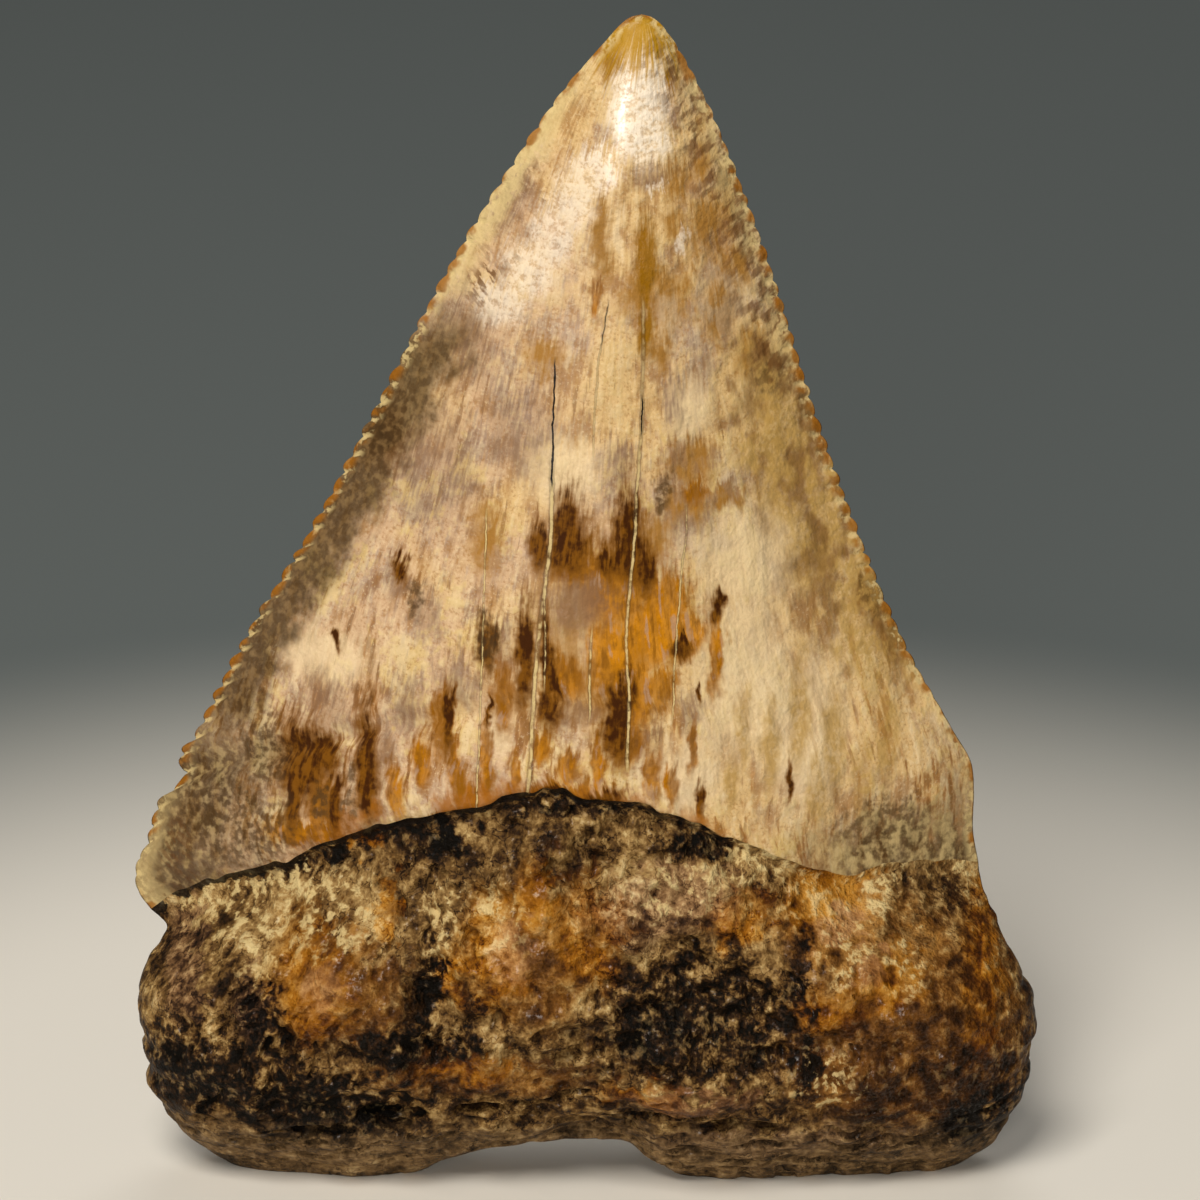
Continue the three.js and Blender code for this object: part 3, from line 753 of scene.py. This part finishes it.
def makeMaterial(piece, name, finish):
    material = bpy.data.materials.new(name)
    material.use_nodes = True
    tree = material.node_tree
    tree.nodes.clear()
    places = Places(tree)
    start = places.start
    colour, roughness, coat, height = finish(places)
    bump = start.node("ShaderNodeBump", {}, {"Strength": 1.0, "Distance": mm, "Height": height})
    values = {
        "Base Color": colour,
        "Roughness": roughness,
        "IOR": surfaceSizes["ior"],
        "Specular IOR Level": surfaceSizes["specular"],
        "Normal": bump,
        "Coat Weight": coat,
        "Coat Roughness": surfaceSizes["coatRoughness"],
    }
    surface = start.node("ShaderNodeBsdfPrincipled", {}, values)
    start.node("ShaderNodeOutputMaterial", {}, {"Surface": surface})
    piece.data.materials.append(material)
    print(name + ":", len(tree.nodes), "nodes")


def enamelFinish(places):
    start, at, blend = places.start, places.at, places.blend
    x, y, z = places.xyz
    wob, speck, grain, outer = places.wob, places.speck, places.grain, places.outer
    fan, down, inset, bead = (places.layer(name) for name in ("fan", "down", "inset", "bead"))
    t = {name: tone(colour) for name, colour in enamelTones.items()}
    fibre = at(fan * 4.8, y * 1.0, z * 1.1).noise(3)
    hair = at(fan * 2.5, y * 0.6, z * 0.42).noise(4)
    streak = at(fan * 0.9, y * 0.4, z * 0.19).noise(4)
    jag = at(fan * 2.0 + 20, y * 0.6, z * 0.5).noise(4)
    cloud = at(x * 0.3, y * 0.3, z * 0.22).noise(4)
    cloud2 = at(x * 0.42 + 40, y * 0.4, z * 0.3).noise(4)
    mottle = at(x * 1.15, y * 1.15, z * 0.8).noise(5)
    marks = markPlaces
    low = (z + (wob - 0.5) * 12).step(*marks["lowerCrown"])
    left, right = x.step(1, -2), x.step(0, 4)  # shares of the two halves
    edge = inset + (wob - 0.5) * 4

    # Body of the enamel
    plain = 1 - right * 0.2 * z.step(37, 33)
    body = blend((x * 0.05 + (cloud - 0.5) * 3).step(-0.45, 0.35), "pinkCream", "cream")

    def lay(name, share):  # one more tone over the body
        nonlocal body
        body = body.over(t[name], share)

    lay("yellowCream", (cloud2 + (speck - 0.5) * 0.6).step(0.5, 0.64) * (0.75 - z.step(34, 42) * 0.5))
    lay("lilac", (mottle * 0.5 + cloud * 0.5 + (fibre - 0.5) * 0.25).step(0.53, 0.38) * (0.85 - low * 0.25) * plain)
    lay("tan", (mottle * 0.5 + cloud2 * 0.5 + (hair - 0.5) * 0.35).step(0.5, 0.36) * 0.7)
    # painted shade: grey-brown mottling that darkens the left half of the crown below the point
    shade = (mottle * 0.45 + streak * 0.55 + (fibre - 0.5) * 0.3).step(0.45, 0.33)
    lay("duskStainAndShade", shade * x.step(3, -5) * z.step(48, 40) * 0.55)
    lay("pale", (hair * 0.6 + cloud2 * 0.4 + (speck - 0.5) * 0.4).step(0.5, 0.64) * (0.35 + low * 0.25))
    lay("streakAmber", (hair * 0.5 + streak * 0.6 + (fibre - 0.5) * 0.3).step(0.52, 0.42) * low * 0.6)
    lay("streakBrown", (fibre * 0.5 + hair * 0.6 + (streak - 0.5) * 0.7).step(0.5, 0.38) * (low * 0.5 + 0.06) * plain)
    lay("streakBrown", (hair + (jag - 0.5) * 0.8).step(0.34, 0.26) * (0.5 - z.step(36, 46) * 0.35) * plain)
    lay("tan", (grain * 0.6 + speck * 0.4).step(0.47, 0.36) * 0.5)
    lay("pale", grain.step(0.56, 0.7) * 0.35)

    # Stains that soaked in from cracks and the edges, and among them a painted highlight and partly painted shade
    feather = at(x + (wob - 0.5) * 1.0 + (jag - 0.5) * 0.5, 0, z + (jag - 0.5) * 1.6 + (fibre - 0.5) * 1.4)

    def near(name):  # reach of one kind of stain on whichever face this is
        return places.eitherFace(nearest(feather, enamelStains[name]), nearest(feather, outerStains[name]))

    def stain(name, depth=1.0, soft=0.35, rim=1.05, fray=0.8):
        return (near(name) + (fibre - 0.5) * fray + (speck - 0.5) * 0.7).step(rim + soft, rim - soft) * depth

    lay("pale", stain("pale", 0.6, 0.5))
    # grey-brown stain, which on the upper left of the crown stands in for painted shade
    duskStainAndShade = stain("duskStainAndShade", 0.75, 0.55)
    lay("duskStainAndShade", duskStainAndShade * (0.5 + 0.5 * (mottle * 0.5 + fibre * 0.5).step(0.58, 0.4)))
    lay("ochre", stain("ochre", 0.8, 0.5) * (0.5 + 0.5 * (speck * 0.6 + mottle * 0.4).step(0.42, 0.56)))
    lay("caramel", stain("caramel", 0.95, 0.6) * (0.45 + 0.55 * (mottle * 0.6 + hair * 0.4).step(0.42, 0.56)))
    lay("olive", stain("olive", 0.95, 0.65, 1.15))
    # painted highlight: the near-white glint tone laid speckled over the sheen places; the same mask also raises the
    # coat's gloss
    shine = stain("sheen", 1.0, 0.4)
    sparkle = (grain * 0.4 + speck * 0.6).step(0.4, 0.54)
    shine = shine * (0.6 + z.step(49.5, 51.5) * 0.4)
    lay("glint", shine * (0.38 + sparkle * 0.6))
    amber = stain("amber", 1.0, 0.5, 1.2)
    dark = near("umber") + (fibre - 0.5) * 0.9 + (speck - 0.5) * 0.7
    bright = (abs(z - 28.0) + abs(x - 3.0) * 0.5 + (jag - 0.5) * 6).step(2.8, 1.2)
    deep = (jag * 0.6 + cloud2 * 0.4 + (speck - 0.5) * 0.4).step(0.46, 0.6) * 0.55
    gold = blend(deep + bright * 0.6, "amberDeep", "amber")
    lay("russet", dark.step(2.2, 1.0) * 0.5)
    (middleX, middleZ), (halfX, halfZ) = marks["heart"]
    oval = at((x - middleX) / halfX, 0, (z - middleZ) / halfZ)
    heart = start.node("ShaderNodeVectorMath", {"operation": "LENGTH"}, [oval], 1)
    heart = (heart + (jag - 0.5) * 0.9 + (fibre - 0.5) * 0.6).step(1.15, 0.55) * (1 - outer)
    lay("caramel", heart * (0.4 + 0.4 * (cloud2 * 0.5 + hair * 0.5).step(0.6, 0.45)))
    body = body.over(gold, amber * (0.82 + hair.step(0.4, 0.6) * 0.18))
    lay("russet", amber * (fibre * 0.5 + hair * 0.5).step(0.48, 0.36) * 0.6)
    lay("lilac", amber * (hair * 0.5 + mottle * 0.5 + (fibre - 0.5) * 0.4).step(0.55, 0.65) * 0.55)
    brown = blend((jag * 0.6 + speck * 0.4 + (fibre - 0.5) * 0.4).step(0.42, 0.6), "umber", "russet")
    lay("duskStainAndShade", duskStainAndShade * heart * 0.8)
    lay("russet", dark.step(2.3, 0.9) * z.step(29, 31) * heart * 0.75)
    lay("russet", dark.step(1.8, 0.9) * 0.7)
    body = body.over(brown, dark.step(1.3, 0.65))
    lay("ashDark", stain("ash", 0.75, 0.5) * (0.35 + 0.65 * speck.step(0.6, 0.42)))

    # Edges: a grey-brown band on the left, a crust above it, ochre grit on the right
    bandLeft = edge.step(3.8, 1.8) * left * between(z, *marks["band"], 1.5)
    ash = blend(speck.step(0.42, 0.66), "ashDark", "ash")
    body = body.over(ash, bandLeft * 0.9)
    corner = edge.step(7.5, 2.0) * left * z.step(*marks["corner"])
    body = body.over(ash, corner * 0.9)
    lay("crust", corner * (speck * 0.5 + mottle * 0.5).step(0.48, 0.62) * 0.26)
    slanted = at((x + z) * 3.0, y * 2.0, (x - z) * 0.8).noise(3)
    grit = (slanted * 0.8 + speck * 0.2).step(0.46, 0.54)
    edgeNear = inset + (wob - 0.5) * 2.0
    crusted = left * (z.step(*marks["upperCrust"]) + z.step(*marks["lowerCrust"]) * 0.6)
    lay("crust", edgeNear.step(1.5, 0.5) * crusted * (0.75 - speck.step(0.58, 0.66) * 0.5))
    lay("streakBrown", between(edgeNear, 1.1, 2.6, 0.5) * (1 - grit) * crusted * cloud2.step(0.38, 0.56) * 0.85)
    gritty = edge.step(5.0, 1.6) * right * between(z, *marks["grit"], 2)
    lay("ochre", gritty * (0.35 + 0.5 * speck.step(0.4, 0.6)))
    mirrored = at((x - z) * 2.4, y * 2.0, (x + z) * 0.8).noise(3)
    lay("crust", edgeNear.step(1.4, 0.5) * right * z.step(37, 41) * 0.45)
    brushed = (mirrored * 0.6 + mottle * 0.4).step(0.55, 0.42)
    lay("streakBrown", edgeNear.step(3.2, 1.0) * right * z.step(37, 41) * brushed * 0.75)
    lay("ash", edge.step(3.0, 1.0) * right * z.step(23, 18) * 0.4)
    mottled = (mottle * 0.5 + cloud2 * 0.5).step(0.54, 0.42)
    lay("streakBrown", edge.step(6.5, 1.5) * right * between(z, 26, 44, 4) * mottled * 0.6)

    # Root crust that covers the right end of the enamel's foot
    buried = (down + (speck - 0.5) * 0.09 + (mottle - 0.5) * 0.12 + (wob - 0.5) * 0.08).step(0.925, 0.97)
    buried = buried * x.step(8, 14) * (1 - outer)
    body = body.over(ash, buried * 0.85)
    lay("crust", buried * (speck * 0.5 + mottle * 0.5).step(0.42, 0.6) * 0.5)

    # The honey-coloured point
    tip = (z + (jag - 0.5) * 5 + inset * 0.3).step(*marks["point"])
    lay("honey", tip * 0.9)

    # Serrations: caramel beads with pale crust between them
    serrated = inset.step(*marks["serration"])
    lay("crust", serrated * (bead + (speck - 0.5) * 3).step(0.7, 0.3) * 0.8)
    lay("bead", serrated * (bead + (wob - 0.5) * 3 - inset * 0.9).step(0.3, 0.75) * 0.85)

    # Amber rim along the foot of the enamel
    foot = (down + (jag - 0.5) * 0.09 + (speck - 0.5) * 0.03).step(0.966, 0.99) * x.step(-16, -8) * x.step(10, 5)
    lay("rim", foot * cloud2.step(0.6, 0.42) * 0.85)

    # Hair cracks: a pale filled line, in places an open slit
    for stops, (bottom, top), halfWidth, slit in enamelCracks:
        offset = abs(x - lineAt(z, stops) - (wob - 0.5) * 0.22 - (speck - 0.5) * 0.12)
        offset = offset + outer * surfaceSizes["otherFace"]
        filled = offset.step(halfWidth * 1.25, halfWidth * 0.5) * between(z, bottom, top, 0.6)
        lay("ashDark", offset.step(halfWidth * 2.4, halfWidth * 1.3) * between(z, bottom, top, 0.6) * 0.45)
        lay("crust", filled * (jag * 0.4 + speck * 0.6 + 0.12).step(0.48, 0.66) * (0.4 + z.step(40, 33) * 0.5))
        if slit:
            # painted shade: the open slit of a crack laid near-black
            lay("ink", offset.step(halfWidth * 0.8, halfWidth * 0.4) * between(z, slit[0], slit[1], 0.3))

    dull = surfaceSizes["enamelRough"] + (fibre - 0.5) * 0.3 + (speck - 0.5) * 0.3 + serrated * 0.1
    dull = dull + (surfaceSizes["stainRough"] - dull) * dark.step(1.8, 1.1).most(amber)
    gloss = surfaceSizes["enamelCoat"] + shine * (0.35 + sparkle * 0.65) + tip * 0.12
    gloss = gloss * (1 - dark.step(1.6, 1.0) * 0.8)
    height = (hair - 0.5) * 0.03 + (speck - 0.5) * (0.035 + z.step(40, 47) * 0.07)
    height = height + (grain - 0.5) * 0.02 + (cloud2 - 0.5) * 0.6
    return body, dull, gloss, height


def rootFinish(places):
    start, at, evenly = places.start, places.at, places.evenly
    x, y, z = places.xyz
    wob, speck, grain, outer = places.wob, places.speck, places.grain, places.outer
    down, pit, strand = (places.layer(name) for name in ("down", "pit", "strand"))
    t = {name: tone(enamelTones[name]) for name in ("crust", "ink")}

    # Cream crust on the ridges, black in the pits and creases
    rough = evenly(1.2, 6, 0.58)
    fleck = at(x * 3.0, y * 3.0, z * 2.5).noise(4, 0.55)
    layers = at(x * 0.9, y * 2.4, z * 3.6).noise(5, 0.65)
    bent = at(x * 1.25 + (rough - 0.5) * 2.4, y * 1.25 + (fleck - 0.5), z * 1.5 + (wob - 0.5) * 3)
    crease = bent.cells().step(0.06, 0.0) * wob.step(0.4, 0.55)
    drift = at(x + (rough - 0.5) * 4, 0, z + (rough - 0.5) * 3 + (wob - 0.5) * 3)

    def patch(name, soft=0.45):
        front = polishedPlaces if name == "polished" else rootStains[name]
        reach = places.eitherFace(nearest(drift, front), nearest(drift, outerStains[name]))
        return (reach + (rough - 0.5) * 1.2).step(1 + soft, 1 - soft)

    cream, orange, black, pink = (patch(name) for name in ("cream", "orange", "black", "pink"))
    polished = patch("polished", 0.35)
    underBand = (z + (wob - 0.5) * 3).step(*markPlaces["underBand"])
    broad = evenly(0.4, 3)
    grainy = (rough - 0.5) * 1.4 + (fleck - 0.5) * (0.7 + black * 0.8) + (grain - 0.5) * 0.35
    banded = 0.1 + (layers - 0.5) * 0.8 + (fleck - 0.5) * 0.8 + (rough - 0.5) * 0.6
    grainy = grainy + (banded - grainy) * underBand * 0.8
    crust = 0.52 + strand * 0.26 - pit * 0.3 + grainy * (1 - polished * 0.35) + cream * 0.2 - black * 0.34
    # painted shade: the bone is darker towards the bottom, and more so low on the right lobe
    crust = crust + (broad - 0.5) * 0.7 - polished * x.step(8, 14) * z.step(12, 8) * 0.14
    crust = crust - z.step(9, 4) * 0.05 - crease * 0.26 * (1 - polished * 0.8)
    ramps = {
        name: start.node("ShaderNodeValToRGB", {"stops": tuple(zip(rootStops, tones))}, [crust])
        for name, tones in rootTones.items()
    }
    bone = ramps["plain"].over(ramps["worn"], polished * 0.85)
    bone = bone.over(ramps["orange"], orange * (0.55 + 0.45 * wob.step(0.4, 0.55)))
    bone = bone.over(ramps["pink"], pink * 0.35)
    bone = bone.over(ramps["ash"], underBand * 0.75)
    scale = (fleck * 0.45 + rough * 0.55 + cream * 0.03).step(0.53, 0.6)
    bone = bone.over(t["crust"], scale * (0.08 + cream * 0.68) * (1 - underBand * 0.5) * (1 - orange * 0.5))
    hollow = (fleck * 0.45 + rough * 0.55).step(0.39, 0.33)
    bone = bone.over(t["ink"], hollow * (0.15 + black * 0.6) * (1 - underBand * 0.7))
    # painted shade: a near-black line in the seam under the foot of the enamel, faded out towards the right of the
    # inner face
    gapShade = (down - (wob - 0.5) * 0.03 - (speck - 0.5) * 0.02).step(1.006, 1.003) * (1 - x.step(0, 13) * (1 - outer))
    bone = bone.over(t["ink"], gapShade * 0.92)

    dull = surfaceSizes["rootRough"] + pit * 0.25 + (fleck - 0.5) * 0.5
    gloss = fleck.step(0.54, 0.68) * 0.3 + polished * grain.step(0.5, 0.6) * 0.3
    height = (rough - 0.5) * 0.5 + (fleck - 0.5) * 0.16 + (grain - 0.5) * 0.06 + (layers - 0.5) * 0.14 * underBand
    return bone, dull, gloss, height


# Floor, lights and camera, in metres
stageSizes = {
    "floorHalf": 1.2,
    "litPoolReach": (0.035, 0.085),  # painted pool of light: the floor is pale by the tooth and greys beyond it
    "litPoolTone": (228, 222, 210),
    "greyTone": (98, 104, 102),
    "roughness": 0.7,
    "specular": 0.2,
    "lights": (  # name, place, height it aims at, side, power in watts, tone
        ("key", (-0.12, -0.26, 0.44), 0.030, 0.22, 2.2, (255, 251, 245)),
        ("sheen", (-0.08, -0.50, 0.14), 0.035, 0.13, 1.15, (255, 252, 247)),
        ("rim", (0.05, 0.35, 0.40), 0.030, 0.30, 0.5, (255, 255, 255)),
    ),
    "ambient": (0.04, 0.04, 0.04, 1),
}
cameraSizes = {
    "aim": (0.00076, 0.00145, 0.02895),
    "elevation": 19,
    "distance": 0.26,
    "lens": 163.25,
    "sensor": 36,
    "nearest": 0.01,
}


def makeStage():
    sizes = stageSizes
    bm = bmesh.new()
    bmesh.ops.create_grid(bm, x_segments=8, y_segments=8, size=sizes["floorHalf"])
    mesh = bpy.data.meshes.new("floor")
    bm.to_mesh(mesh)
    bm.free()
    floor = bpy.data.objects.new("floor", mesh)
    bpy.context.scene.collection.objects.link(floor)
    material = bpy.data.materials.new("floorWithPaintedLightPool")
    material.use_nodes = True
    tree = material.node_tree
    tree.nodes.clear()
    start = Wire(tree)
    place = start.node("ShaderNodeTexCoord", {}, {}, 3)
    reach = start.node("ShaderNodeVectorMath", {"operation": "LENGTH"}, [place], 1)
    # painted pool of light: pale by the tooth, grey further out
    share = reach.step(*sizes["litPoolReach"])
    values = {0: share, 6: tone(sizes["litPoolTone"]), 7: tone(sizes["greyTone"])}
    colour = start.node("ShaderNodeMix", {"data_type": "RGBA"}, values, 2)
    values = {"Base Color": colour, "Roughness": sizes["roughness"], "Specular IOR Level": sizes["specular"]}
    surface = start.node("ShaderNodeBsdfPrincipled", {}, values)
    start.node("ShaderNodeOutputMaterial", {}, {"Surface": surface})
    mesh.materials.append(material)
    for name, place, aimHeight, side, power, colour in sizes["lights"]:
        data = bpy.data.lights.new(name, "AREA")
        data.shape = "SQUARE"
        data.size = side
        data.energy = power
        data.color = tone(colour)[:3]
        light = bpy.data.objects.new(name, data)
        light.location = place
        light.rotation_euler = (Vector((0, 0, aimHeight)) - Vector(place)).to_track_quat("-Z", "Y").to_euler()
        bpy.context.scene.collection.objects.link(light)
    world = bpy.data.worlds.new("softStudio")
    world.use_nodes = True
    world.node_tree.nodes["Background"].inputs["Color"].default_value = sizes["ambient"]
    bpy.context.scene.world = world
    print("stage: floor and", len(sizes["lights"]), "lights")


def makeCamera():
    sizes = cameraSizes
    data = bpy.data.cameras.new("photoView")
    data.lens = sizes["lens"]
    data.sensor_width = sizes["sensor"]
    data.clip_start = sizes["nearest"]
    camera = bpy.data.objects.new("photoView", data)
    tilt = math.radians(sizes["elevation"])
    aim = Vector(sizes["aim"])
    camera.location = aim + sizes["distance"] * Vector((0, -math.cos(tilt), math.sin(tilt)))
    camera.rotation_euler = (math.pi / 2 - tilt, 0, 0)
    bpy.context.scene.collection.objects.link(camera)
    bpy.context.scene.camera = camera


skin = makeSkin()
makeMaterial(skin, "fossilEnamel", enamelFinish)
makeMaterial(skin, "fossilRoot", rootFinish)
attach(skin, "root")
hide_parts("tooth")
makeStage()
makeCamera()
bpy.context.scene.view_settings.view_transform = "Standard"
